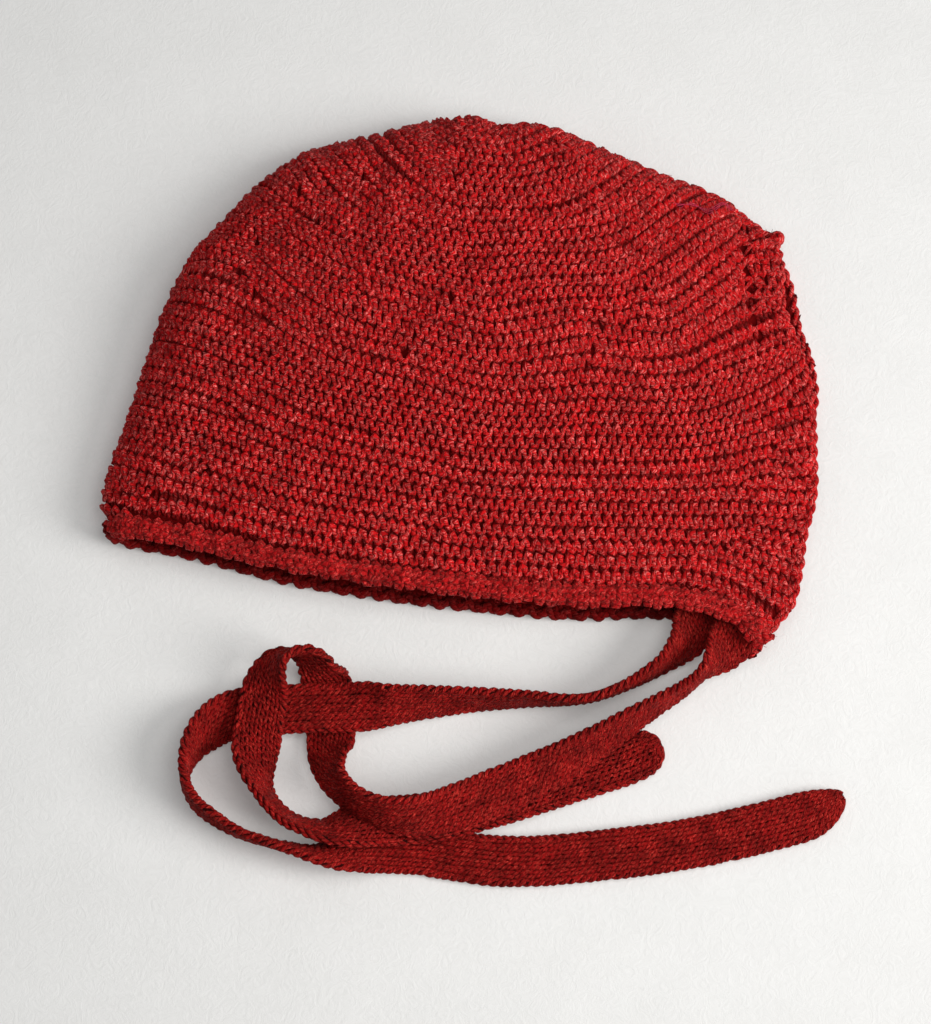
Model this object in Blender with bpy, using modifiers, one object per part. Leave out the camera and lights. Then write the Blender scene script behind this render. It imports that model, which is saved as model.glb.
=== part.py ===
"""Knitted baby bonnet that lies flat on its side, with two flat knitted ties.

The bonnet is one folded sheet of thick garter knit: a lower layer that rests on the table, a fold
round the back of the head and over the crown, and an upper layer above it. It stays open at the face
(+X) and at the neck (-Y). A knitted band runs along the neck edge and a thin chain edging along the
face edge. X runs from the back of the head to the face, Y from the neck to the crown, Z up.
Units are metres.
"""

import math

import bmesh
import bpy
from mathutils import Vector
from mathutils.geometry import intersect_point_line

# Driving sizes of the bonnet
LENGTH = 0.1730            # back fold to face edge, lying flat
HEIGHT = 0.1360            # chin tip to crown, lying flat
WALL = 0.0028              # thickness of the garter knit
THICKNESS_AT_EDGES = 0.0126  # both layers and the air between them, along folds and open edges
THICKNESS_AT_CROWN = 0.0270  # the same, at the fullest place of the crown
FOLD_HEIGHT = 0.0060       # middle of the knit at the folds, above the table
FOLD_REACH_ABOVE = 0.0120  # how far in from the fold the upper layer rounds over
FOLD_REACH_BELOW = 0.0080  # the same for the lower layer
CROWN_REACH_X = 0.0980     # half length of the dome that the crown's fullness makes
CROWN_REACH_Y = 0.0820     # half height of that dome
FACE_LAP = 0.0060          # how far the lower layer's face edge shows past the upper one
LAP_MIDDLE = 0.80          # where along the face edge the lap is widest, from chin to forehead
LAP_BELOW = 0.28           # share of the face edge that the lap takes to fade towards the chin

# Trims
BAND_HEIGHT = 0.0050
BAND_THICKNESS = 0.0034
EDGING_WIDTH = 0.0022
EDGING_THICKNESS = 0.0032
SEAM_GAP = 0.0011          # clearance between the knit and its trims

# Ties
TIE_WIDTH = 0.0116
TIE_THICKNESS = 0.0022
TIE_STEP = 0.0042          # distance between the rings of a tie
TIE_TIP_LENGTH = 0.0060    # the rounded tip of a tie

# Resolution of the knit sheets, in grid cells
CELLS_ALONG = 26           # back fold to face edge, one layer
CELLS_UP = 24              # neck edge to crown fold
CELLS_ROUND_FOLD = 5       # of those, the ones that turn round a fold
CELLS_IN_TRIM = 2          # across a band or an edging
MERGE_DISTANCE = 0.00005   # points of the two layers that meet at a fold

# Outline seen from above, as shares of LENGTH and HEIGHT, from the middle of the bonnet.
# Each line is one run of points between two corners.
NAPE_TO_CHIN = (
    # along, up
    (-0.490, -0.294),
    (-0.370, -0.322),
    (-0.243, -0.364),
    (-0.104, -0.393),
    (0.023, -0.412),
    (0.145, -0.424),
    (0.255, -0.421),
    (0.335, -0.436),
    (0.372, -0.464),
    (0.396, -0.500),
)
NAPE_TO_CROWN = (
    (-0.490, -0.294),
    (-0.500, -0.240),
    (-0.495, -0.180),
    (-0.478, -0.110),
    (-0.454, -0.005),
    (-0.424, 0.128),
    (-0.389, 0.229),
    (-0.359, 0.276),
    (-0.325, 0.326),
)
CROWN_TO_FOREHEAD = (
    (-0.325, 0.326),
    (-0.292, 0.372),
    (-0.244, 0.419),
    (-0.203, 0.441),
    (-0.133, 0.465),
    (-0.069, 0.485),
    (-0.015, 0.500),
    (0.027, 0.498),
    (0.052, 0.484),
    (0.087, 0.487),
    (0.132, 0.479),
    (0.165, 0.459),
    (0.223, 0.423),
    (0.295, 0.382),
    (0.367, 0.344),
    (0.409, 0.300),
    (0.444, 0.268),
)
CHIN_TO_FOREHEAD = (
    (0.396, -0.500),
    (0.424, -0.455),
    (0.447, -0.415),
    (0.458, -0.360),
    (0.468, -0.290),
    (0.481, -0.235),
    (0.484, -0.150),
    (0.483, -0.065),
    (0.478, -0.012),
    (0.466, 0.045),
    (0.455, 0.085),
    (0.449, 0.125),
    (0.452, 0.185),
    (0.451, 0.235),
    (0.444, 0.268),
)

# Shallow dents of the upper layer, where short rows of knitting turn
DENTS = (
    # start along, start up, end along, end up, half width, depth
    (-0.310, 0.205, -0.200, 0.300, 0.0050, 0.0012),
    (-0.085, 0.062, 0.000, 0.178, 0.0055, 0.0012),
    (0.180, 0.040, 0.228, 0.160, 0.0050, 0.0011),
    (0.405, 0.085, 0.390, 0.270, 0.0042, 0.0014),
)
CROWN_CENTRE = (0.010, 0.040)

# Routes of the ties: x, y and the height of the band's lowest point in metres, then the roll in
# degrees. At a roll of 0 the band lies flat, and a positive roll lifts its left-hand edge.
TIE_RIGHT_ROUTE = (
    (0.0680, -0.0554, 0.0066, 0),
    (0.0657, -0.0592, 0.0066, 0),
    (0.0630, -0.0637, 0.0060, -6),
    (0.0600, -0.0680, 0.0034, -44),
    (0.0560, -0.0719, 0.0014, -82),
    (0.0509, -0.0760, 0.0006, -82),
    (0.0447, -0.0799, 0.0018, -76),
    (0.0380, -0.0840, 0.0031, -67),
    (0.0310, -0.0883, 0.0031, -55),
    (0.0234, -0.0926, 0.0031, -42),
    (0.0158, -0.0962, 0.0036, -30),
    (0.0084, -0.0995, 0.0048, -22),
    (0.0011, -0.1025, 0.0058, -20),
    (-0.0062, -0.1049, 0.0060, -30),
    (-0.0132, -0.1056, 0.0060, -50),
    (-0.0195, -0.1043, 0.0052, -60),
    (-0.0251, -0.1015, 0.0042, -64),
    (-0.0291, -0.0972, 0.0026, -60),
    (-0.0308, -0.0921, 0.0013, -38),
    (-0.0308, -0.0877, 0.0010, -12),
    (-0.0309, -0.0850, 0.0006, -3),
    (-0.0310, -0.0812, 0.0004, 0),
    (-0.0313, -0.0769, 0.0003, 0),
    (-0.0321, -0.0736, 0.0003, 0),
    (-0.0335, -0.0709, 0.0009, -42),
    (-0.0353, -0.0687, 0.0034, -68),
    (-0.0382, -0.0676, 0.0050, -90),
    (-0.0414, -0.0686, 0.0056, -114),
    (-0.0440, -0.0714, 0.0058, -140),
    (-0.0457, -0.0754, 0.0058, -164),
    (-0.0466, -0.0803, 0.0057, -178),
    (-0.0474, -0.0849, 0.0054, -182),
    (-0.0478, -0.0896, 0.0040, -202),
    (-0.0475, -0.0939, 0.0018, -228),
    (-0.0465, -0.0980, 0.0006, -250),
    (-0.0443, -0.1018, 0.0004, -257),
    (-0.0403, -0.1055, 0.0004, -256),
    (-0.0354, -0.1075, 0.0008, -252),
    (-0.0308, -0.1082, 0.0016, -238),
    (-0.0259, -0.1075, 0.0024, -212),
    (-0.0202, -0.1063, 0.0030, -192),
    (-0.0134, -0.1058, 0.0032, -181),
    (-0.0060, -0.1049, 0.0032, -180),
    (0.0023, -0.1030, 0.0028, -180),
    (0.0106, -0.1006, 0.0019, -180),
    (0.0192, -0.0978, 0.0008, -180),
    (0.0281, -0.0949, 0.0003, -180),
    (0.0368, -0.0921, 0.0003, -180),
    (0.0460, -0.0882, 0.0003, -180),
)
TIE_LEFT_ROUTE = (
    (0.0584, -0.0515, 0.0038, 0),
    (0.0563, -0.0558, 0.0038, 0),
    (0.0542, -0.0608, 0.0034, -14),
    (0.0514, -0.0654, 0.0018, -50),
    (0.0471, -0.0694, 0.0006, -76),
    (0.0419, -0.0727, 0.0004, -86),
    (0.0363, -0.0755, 0.0003, -92),
    (0.0302, -0.0776, 0.0003, -96),
    (0.0237, -0.0783, 0.0003, -93),
    (0.0167, -0.0781, 0.0003, -87),
    (0.0086, -0.0781, 0.0003, -80),
    (0.0004, -0.0783, 0.0004, -72),
    (-0.0077, -0.0788, 0.0009, -61),
    (-0.0167, -0.0795, 0.0022, -44),
    (-0.0221, -0.0797, 0.0035, -18),
    (-0.0263, -0.0799, 0.0040, -5),
    (-0.0312, -0.0800, 0.0040, 0),
    (-0.0361, -0.0800, 0.0037, 0),
    (-0.0411, -0.0802, 0.0032, 0),
    (-0.0465, -0.0805, 0.0022, 0),
    (-0.0521, -0.0809, 0.0012, -10),
    (-0.0573, -0.0832, 0.0005, -32),
    (-0.0612, -0.0871, 0.0003, -60),
    (-0.0635, -0.0918, 0.0003, -82),
    (-0.0640, -0.0970, 0.0003, -97),
    (-0.0613, -0.1021, 0.0003, -100),
    (-0.0563, -0.1059, 0.0003, -98),
    (-0.0505, -0.1091, 0.0003, -92),
    (-0.0441, -0.1111, 0.0003, -87),
    (-0.0377, -0.1127, 0.0003, -80),
    (-0.0329, -0.1136, 0.0003, -68),
    (-0.0281, -0.1135, 0.0003, -46),
    (-0.0232, -0.1125, 0.0003, -20),
    (-0.0175, -0.1120, 0.0003, -5),
    (-0.0092, -0.1124, 0.0003, 0),
    (-0.0000, -0.1140, 0.0003, 0),
    (0.0094, -0.1149, 0.0003, 0),
    (0.0200, -0.1147, 0.0003, 0),
    (0.0324, -0.1135, 0.0003, 0),
    (0.0440, -0.1122, 0.0003, 0),
    (0.0556, -0.1103, 0.0003, 0),
    (0.0672, -0.1078, 0.0003, 0),
    (0.0789, -0.1048, 0.0003, 0),
    (0.0885, -0.1023, 0.0003, 0),
)

# Colours of the yarn, linear red, green and blue
KNIT_RED = (0.300, 0.008, 0.012, 1.0)
BAND_RED = (0.320, 0.009, 0.014, 1.0)
TIE_RED = (0.220, 0.006, 0.009, 1.0)
YARN_ROUGHNESS = 0.85


def clear_scene():
    for old in list(bpy.data.objects):
        bpy.data.objects.remove(old, do_unlink=True)


def yarn_material(name, colour):
    material = bpy.data.materials.new(name)
    material.use_nodes = True
    shader = material.node_tree.nodes["Principled BSDF"]
    shader.inputs["Base Color"].default_value = colour
    shader.inputs["Roughness"].default_value = YARN_ROUGHNESS
    shader.inputs["Metallic"].default_value = 0.0
    material.diffuse_color = colour
    return material


def hermite(before, start, end, after, share):
    """Point between start and end of a smooth curve that also passes before and after."""
    leave = (end - before) * 0.5
    arrive = (after - start) * 0.5
    square = share * share
    cube = square * share
    return (start * (2 * cube - 3 * square + 1) + leave * (cube - 2 * square + share)
            + end * (3 * square - 2 * cube) + arrive * (cube - square))


def smooth_points(points, cells_between):
    """Points of a smooth curve through the given ones, with equal cells between each two."""
    last = len(points) - 1
    curve = []
    for index in range(last):
        before = points[max(index - 1, 0)]
        after = points[min(index + 2, last)]
        for step in range(cells_between):
            share = step / cells_between
            curve.append(hermite(before, points[index], points[index + 1], after, share))
    curve.append(points[last].copy())
    return curve


def run_lengths(points):
    lengths = [0.0]
    for first, second in zip(points, points[1:]):
        lengths.append(lengths[-1] + (second.xy - first.xy).length)
    return lengths


def at_share(points, lengths, share):
    """Point at a share of a curve's length."""
    target = min(max(share, 0.0), 1.0) * lengths[-1]
    index = 0
    while index < len(lengths) - 2 and lengths[index + 1] < target:
        index += 1
    span = max(lengths[index + 1] - lengths[index], 1e-9)
    return points[index].lerp(points[index + 1], (target - lengths[index]) / span)


class Outline:
    """The bonnet's outline at the middle of its wall, and the surfaces that hang on it."""

    def __init__(self):
        self.neck = self.curve(NAPE_TO_CHIN, 0.0)
        self.back = self.curve(NAPE_TO_CROWN, -WALL / 2)
        self.crown = self.curve(CROWN_TO_FOREHEAD, -WALL / 2)
        self.face = self.curve(CHIN_TO_FOREHEAD, 0.0)
        self.close_corners()
        self.lengths = {name: run_lengths(getattr(self, name)) for name in ("neck", "back", "crown", "face")}
        self.fold = self.back + self.crown[1:]

    @staticmethod
    def curve(table, offset):
        """Smooth outline curve, moved sideways by an offset: a negative one moves it inwards."""
        points = [Vector((along * LENGTH, up * HEIGHT, 0.0)) for along, up in table]
        points = smooth_points(points, 6)
        if not offset:
            return points
        moved = []
        for index, point in enumerate(points):
            ahead = points[min(index + 1, len(points) - 1)] - points[max(index - 1, 0)]
            left = Vector((-ahead.y, ahead.x, 0.0)).normalized()
            moved.append(point + left * offset)
        return moved

    def close_corners(self):
        """The open edges end where the folds end."""
        meeting = (self.back[-1] + self.crown[0]) / 2
        self.back[-1] = meeting.copy()
        self.crown[0] = meeting.copy()
        nape_shift = self.back[0] - self.neck[0]
        forehead_shift = self.crown[-1] - self.face[-1]
        for curve, shift, from_end in ((self.neck, nape_shift, False), (self.face, forehead_shift, True)):
            last = len(curve) - 1
            for index, point in enumerate(curve):
                share = index / last if from_end else 1 - index / last
                curve[index] = point + shift * share ** 2

    def edge(self, name, share):
        return at_share(getattr(self, name), self.lengths[name], share)

    def plan(self, along, up):
        """Point between the four curves, at shares from back to face and from neck to crown."""
        neck, crown = self.edge("neck", along), self.edge("crown", along)
        back, face = self.edge("back", up), self.edge("face", up)
        nape, chin = self.neck[0], self.neck[-1]
        crown_back, forehead = self.crown[0], self.crown[-1]
        across = neck.lerp(crown, up) + back.lerp(face, along)
        corners = nape.lerp(chin, along).lerp(crown_back.lerp(forehead, along), up)
        return across - corners

    def height_at(self, along):
        return (self.edge("crown", along) - self.edge("neck", along)).length

    def width_at(self, up):
        return (self.edge("face", up) - self.edge("back", up)).length

    def from_fold(self, point):
        """Distance from the nearest place of the fold."""
        nearest = min(range(len(self.fold)), key=lambda index: (self.fold[index] - point).length_squared)
        best = (self.fold[nearest] - point).length
        for first in (nearest - 1, nearest):
            if 0 <= first < len(self.fold) - 1:
                start, end = self.fold[first], self.fold[first + 1]
                foot, share = intersect_point_line(point, start, end)
                if 0.0 <= share <= 1.0:
                    best = min(best, (foot - point).length)
        return best


def rounding(distance, reach):
    """Quarter ellipse from 0 at a fold to 1 at the reach."""
    share = min(distance / reach, 1.0)
    return math.sqrt(max(1.0 - (1.0 - share) ** 2, 0.0))


def dome(point):
    """Thickness of the whole lying bonnet at a place."""
    x = (point.x - CROWN_CENTRE[0] * LENGTH) / CROWN_REACH_X
    y = (point.y - CROWN_CENTRE[1] * HEIGHT) / CROWN_REACH_Y
    swell = max(1.0 - x * x - y * y, 0.0)
    return THICKNESS_AT_EDGES + (THICKNESS_AT_CROWN - THICKNESS_AT_EDGES) * swell ** 1.5


def dent_depth(point):
    """How far the darts pull the upper layer down at a place."""
    depth = 0.0
    for start_along, start_up, end_along, end_up, half_width, deepest in DENTS:
        start = Vector((start_along * LENGTH, start_up * HEIGHT, 0.0))
        end = Vector((end_along * LENGTH, end_up * HEIGHT, 0.0))
        share = intersect_point_line(point, start, end)[1]
        foot = start.lerp(end, min(max(share, 0.0), 1.0))
        away = (point - foot).length / half_width
        depth += deepest * math.exp(-away * away)
    return depth


def face_lap(up):
    """Share of the lap that the lower layer's face edge has at a height."""
    reach = LAP_BELOW if up < LAP_MIDDLE else 1.0 - LAP_MIDDLE
    return max(1.0 - ((up - LAP_MIDDLE) / reach) ** 2, 0.0)


def sheet_point(outline, along, up, layer):
    """Middle of the knit at a place: layer is 1 above and -1 below."""
    point = outline.plan(along, up)
    distance = outline.from_fold(point)
    if layer > 0:
        top = dome(point) - dent_depth(point) - WALL / 2
        point.z = FOLD_HEIGHT + (top - FOLD_HEIGHT) * rounding(distance, FOLD_REACH_ABOVE)
    else:
        point.z = FOLD_HEIGHT - (FOLD_HEIGHT - WALL / 2) * rounding(distance, FOLD_REACH_BELOW)
        point.x += FACE_LAP * face_lap(up) * along ** 6
    return point


def stations(count, round_fold, reach):
    """Shares from 0 at a fold to 1, close together where the knit turns round the fold."""
    shares = [reach * (1 - math.cos(math.pi / 2 * step / round_fold)) for step in range(round_fold)]
    rest = count - round_fold
    return shares + [reach + (1 - reach) * step / rest for step in range(rest + 1)]


def folded_sheet(name, alongs, ups, place, thickness, material, collection):
    """A sheet that runs from the lower layer's front round the back fold to the upper layer's front.

    alongs run from the back fold to the front and ups from the neck to the crown. place gives the
    middle of the wall for an along, an up and a layer.
    """
    last_along = len(alongs) - 1
    last_up = len(ups) - 1
    sheet = bmesh.new()
    bmesh.ops.create_grid(sheet, x_segments=2 * last_along, y_segments=last_up, size=0.5)
    for vertex in sheet.verts:
        column = round((vertex.co.x + 0.5) * 2 * last_along) - last_along
        row = round((vertex.co.y + 0.5) * last_up)
        vertex.co = place(alongs[abs(column)], ups[row], 1 if column > 0 else -1)
    bmesh.ops.remove_doubles(sheet, verts=sheet.verts, dist=MERGE_DISTANCE)
    mesh = bpy.data.meshes.new(name)
    sheet.to_mesh(mesh)
    sheet.free()
    mesh.shade_smooth()
    mesh.materials.append(material)
    body = bpy.data.objects.new(name, mesh)
    collection.objects.link(body)
    wall = body.modifiers.new("wall", "SOLIDIFY")
    wall.thickness = thickness
    wall.offset = 0.0
    wall.use_even_offset = True
    return body


def build_crown(outline, collection):
    """The knitted body of the bonnet, between the neck band and the face edging."""
    alongs = stations(CELLS_ALONG, CELLS_ROUND_FOLD, FOLD_REACH_ABOVE / LENGTH)
    from_top = stations(CELLS_UP, CELLS_ROUND_FOLD, FOLD_REACH_ABOVE / HEIGHT)
    ups = [1.0 - share for share in reversed(from_top)]

    def place(along, up, layer):
        front = 1.0 - (EDGING_WIDTH + SEAM_GAP) / outline.width_at(up)
        bottom = (BAND_HEIGHT + SEAM_GAP) / outline.height_at(along * front)
        return sheet_point(outline, along * front, bottom + (1.0 - bottom) * up, layer)

    material = yarn_material("garter_knit", KNIT_RED)
    return folded_sheet("bonnet_body", alongs, ups, place, WALL, material, collection)


def build_neck_band(outline, collection):
    """The band along the neck edge, from chin to chin round the nape."""
    alongs = stations(CELLS_ALONG, CELLS_ROUND_FOLD, FOLD_REACH_ABOVE / LENGTH)
    ups = [step / CELLS_IN_TRIM for step in range(CELLS_IN_TRIM + 1)]

    def place(along, up, layer):
        front = 1.0 - (EDGING_WIDTH + SEAM_GAP) / outline.width_at(0.0)
        top = BAND_HEIGHT / outline.height_at(along * front)
        return lifted(sheet_point(outline, along * front, top * up, layer), layer, BAND_THICKNESS)

    material = yarn_material("band_knit", BAND_RED)
    return folded_sheet("neck_band", alongs, ups, place, BAND_THICKNESS, material, collection)


def lifted(point, layer, thickness):
    """A trim thicker than the knit rests on the table too, so its lower layer stands higher."""
    if layer < 0:
        point.z += (thickness - WALL) / 2
    return point


def build_face_edging(outline, collection):
    """The chain edging of the face opening, from chin to chin over the forehead."""
    from_top = stations(CELLS_UP, CELLS_ROUND_FOLD, FOLD_REACH_ABOVE / HEIGHT)
    across = [step / CELLS_IN_TRIM for step in range(CELLS_IN_TRIM + 1)]

    def place(down, inward, layer):
        up = 1.0 - down
        along = 1.0 - (1.0 - inward) * EDGING_WIDTH / outline.width_at(up)
        return lifted(sheet_point(outline, along, up, layer), layer, EDGING_THICKNESS)

    material = yarn_material("edging_knit", KNIT_RED)
    return folded_sheet("face_edging", from_top, across, place, EDGING_THICKNESS, material, collection)


def band_height(lift, roll):
    """Height of a tie's middle, from the height of its lowest point and its roll."""
    half_span = (TIE_WIDTH - TIE_THICKNESS) / 2
    return lift + TIE_THICKNESS / 2 + half_span * abs(math.sin(roll))


def tie_route(table):
    """Evenly spaced points of a tie's middle line, each with its roll, as 4D vectors."""
    points = []
    for x, y, lift, roll in table:
        turn = math.radians(roll)
        points.append(Vector((x, y, band_height(lift, turn), turn)))
    fine = smooth_points(points, 12)
    lengths = [0.0]
    for first, second in zip(fine, fine[1:]):
        lengths.append(lengths[-1] + (second.xyz - first.xyz).length)
    count = round(lengths[-1] / TIE_STEP)
    return [at_share(fine, lengths, step / count) for step in range(count + 1)], lengths[-1]


def build_tie(name, table, material, collection):
    """A flat knitted tie: a ribbon with rounded edges swept along its route."""
    points, length = tie_route(table)
    data = bpy.data.curves.new(name, "CURVE")
    data.dimensions = "3D"
    data.twist_mode = "Z_UP"
    data.fill_mode = "FULL"
    data.extrude = (TIE_WIDTH - TIE_THICKNESS) / 2
    data.bevel_depth = TIE_THICKNESS / 2
    data.bevel_resolution = 2
    data.use_fill_caps = True
    spline = data.splines.new("POLY")
    spline.points.add(len(points) - 1)
    for index, point in enumerate(points):
        node = spline.points[index]
        node.co = (point.x, point.y, point.z, 1.0)
        node.tilt = math.pi / 2 + point.w
        left = length * (1 - index / (len(points) - 1))
        node.radius = 0.35 + 0.65 * math.sqrt(1 - (1 - min(left / TIE_TIP_LENGTH, 1.0)) ** 2)
    data.materials.append(material)
    tie = bpy.data.objects.new(name, data)
    collection.objects.link(tie)
    return tie


def build_bonnet():
    clear_scene()
    collection = bpy.data.collections.new("baby_bonnet")
    bpy.context.scene.collection.children.link(collection)
    outline = Outline()
    build_crown(outline, collection)
    build_neck_band(outline, collection)
    build_face_edging(outline, collection)
    tie_knit = yarn_material("tie_knit", TIE_RED)
    build_tie("tie_right", TIE_RIGHT_ROUTE, tie_knit, collection)
    build_tie("tie_left", TIE_LEFT_ROUTE, tie_knit, collection)


build_bonnet()
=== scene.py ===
"""Looks of a knitted baby bonnet that lies on its side, stitch by stitch, with its two flat ties.

Every strand of yarn is a tube along its own loops. The garter knit of the bonnet, the stockinette of
the ties, the neck band and the chain edging are all made from rows of such loops, laid on the same
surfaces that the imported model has. Units are metres.
"""

import math
from collections import namedtuple

import bmesh
import bpy
import numpy as np
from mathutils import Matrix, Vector


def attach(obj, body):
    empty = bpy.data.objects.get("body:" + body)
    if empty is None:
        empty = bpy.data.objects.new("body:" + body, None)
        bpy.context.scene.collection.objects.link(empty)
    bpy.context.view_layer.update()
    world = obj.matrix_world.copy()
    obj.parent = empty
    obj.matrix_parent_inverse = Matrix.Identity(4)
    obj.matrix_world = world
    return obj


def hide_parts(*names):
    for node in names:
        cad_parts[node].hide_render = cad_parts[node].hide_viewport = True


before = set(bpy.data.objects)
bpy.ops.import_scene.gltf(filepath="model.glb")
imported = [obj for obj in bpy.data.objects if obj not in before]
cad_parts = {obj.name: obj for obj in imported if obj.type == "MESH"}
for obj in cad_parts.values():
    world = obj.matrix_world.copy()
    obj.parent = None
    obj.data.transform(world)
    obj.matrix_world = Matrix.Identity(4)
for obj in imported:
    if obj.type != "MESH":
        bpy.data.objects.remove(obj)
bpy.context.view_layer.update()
rng = np.random.default_rng(7)

# Sizes shared with the part's source
LENGTH = 0.1730
HEIGHT = 0.1360
WALL = 0.0028
THICKNESS_AT_EDGES = 0.0126
THICKNESS_AT_CROWN = 0.0270
FOLD_HEIGHT = 0.0060
FOLD_REACH_ABOVE = 0.0120
FOLD_REACH_BELOW = 0.0080
CROWN_REACH = (0.0980, 0.0820)
CROWN_CENTRE = (0.010, 0.040)
FACE_LAP = 0.0060
LAP_MIDDLE = 0.80
LAP_BELOW = 0.28
BAND_HEIGHT = 0.0050
EDGING_WIDTH = 0.0022
TIE_WIDTH = 0.0116
TIE_THICKNESS = 0.0022

# Yarn and stitches
RIDGE = 0.00295             # distance between two ridges of garter knit, which is two rows
STITCH = 0.00240            # distance between two stitches of a row
YARN = 0.00057              # radius of the yarn
DIVE = 0.00080              # how far the yarn goes in front of the knit and behind it
RIDGE_GOAL = 0.0032         # distance between ridges above which short rows are put in
BLOCK = 4                   # ridges that are spaced together
SHORT_ROW_SLOTS = (1.5, 3.5, 0.5, 2.5)  # where in a block the extra ridges go, in their order
TABLE_CLEARANCE = 0.00066   # lowest height of the middle of a yarn of the lower layer
TIE_YARN = 0.00052          # radius
TIE_ROW = 0.00170
TIE_COLUMNS = 5
TIE_CHAIN = 0.0040          # length of a turn of the chain along a tie's edges
TIE_DRAWN_IN = 0.0028       # length over which that chain draws in at the end
BAND_YARN = 0.00074         # radius
HEM_YARN = 0.00086          # radius
HEM_RELIEF = 0.08           # dark, because the hem lies in the shadow of the band
SCALLOP = 0.0047            # distance between two scallops of the hem
EDGING_YARN = 0.00062       # radius
EDGING_TURN = 0.0034        # half a turn of the chain along the face
EDGING_REACH = 0.00055
SEAM_YARN = 0.00092         # radius
FUZZ_YARN = 0.000045        # radius
LOOSE_FIBRE = 0.00008       # radius

# Shape of a garter loop: how far its legs lean over in its lower and its upper half, how far it spreads,
# how far it comes forward, its relief half way and how much that changes (the yarn material paints shade
# where the relief is low), and how much thicker the yarn is in front and with what power that grows
Loop = namedtuple("Loop", "lean_low lean_high spread forward relief relief_change swell swell_power")
HEADS_IN_FRONT = Loop(0.12, 0.10, -0.02, 1.05, 0.32, 0.36, 0.54, 1.2)
FEET_IN_FRONT = Loop(0.12, 0.12, 0.08, 0.80, 0.29, 0.31, 0.34, 1.0)
LOOP_BACKWARD = 0.90        # how far a loop goes back, as a share of DIVE
LOOP_RISE = (1.21, 0.98)    # how far a loop reaches up and down in front and behind, in rows
LEG_THICKNESS = 0.78
BACK_SWELL = 0.08
RIDGE_SHIFT = 0.25          # stitches by which each ridge is stepped on from the one before

# The view of the photograph, 931 by 1024 pixels
PIXEL = 0.000236            # metres a pixel at the aim
ELEVATION = math.radians(76.0)
DISTANCE = 0.45
FOCAL = DISTANCE / PIXEL    # in pixels
MIDDLE = (465.5, 512.0)
PHOTO_HEIGHT = 1024
SENSOR = 36.0
AIM = np.array((0.00055, -0.03425, 0.010))
FORWARD = np.array((0.0, math.cos(ELEVATION), -math.sin(ELEVATION)))
UPWARD = np.array((0.0, math.sin(ELEVATION), math.cos(ELEVATION)))
EYE = AIM - FORWARD * DISTANCE

NAPE_TO_CHIN = (
    (-0.490, -0.294), (-0.370, -0.322), (-0.243, -0.364), (-0.104, -0.393), (0.023, -0.412),
    (0.145, -0.424), (0.255, -0.421), (0.335, -0.436), (0.372, -0.464), (0.396, -0.500),
)
NAPE_TO_CROWN = (
    (-0.490, -0.294), (-0.500, -0.240), (-0.495, -0.180), (-0.478, -0.110), (-0.454, -0.005),
    (-0.424, 0.128), (-0.389, 0.229), (-0.359, 0.276), (-0.325, 0.326),
)
CROWN_TO_FOREHEAD = (
    (-0.325, 0.326), (-0.292, 0.372), (-0.244, 0.419), (-0.203, 0.441), (-0.133, 0.465),
    (-0.069, 0.485), (-0.015, 0.500), (0.027, 0.498), (0.052, 0.484), (0.087, 0.487),
    (0.132, 0.479), (0.165, 0.459), (0.223, 0.423), (0.295, 0.382), (0.367, 0.344),
    (0.409, 0.300), (0.444, 0.268),
)
CHIN_TO_FOREHEAD = (
    (0.396, -0.500), (0.424, -0.455), (0.447, -0.415), (0.458, -0.360), (0.468, -0.290),
    (0.481, -0.235), (0.484, -0.150), (0.483, -0.065), (0.478, -0.012), (0.466, 0.045),
    (0.455, 0.085), (0.449, 0.125), (0.452, 0.185), (0.451, 0.235), (0.444, 0.268),
)

# Shallow dents where short rows turn: start, end, half width, depth
DENTS = (
    (-0.310, 0.205, -0.200, 0.300, 0.0050, 0.0012),
    (-0.085, 0.062, 0.000, 0.178, 0.0055, 0.0012),
    (0.180, 0.040, 0.228, 0.160, 0.0050, 0.0011),
    (0.405, 0.085, 0.390, 0.270, 0.0042, 0.0014),
)

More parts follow.
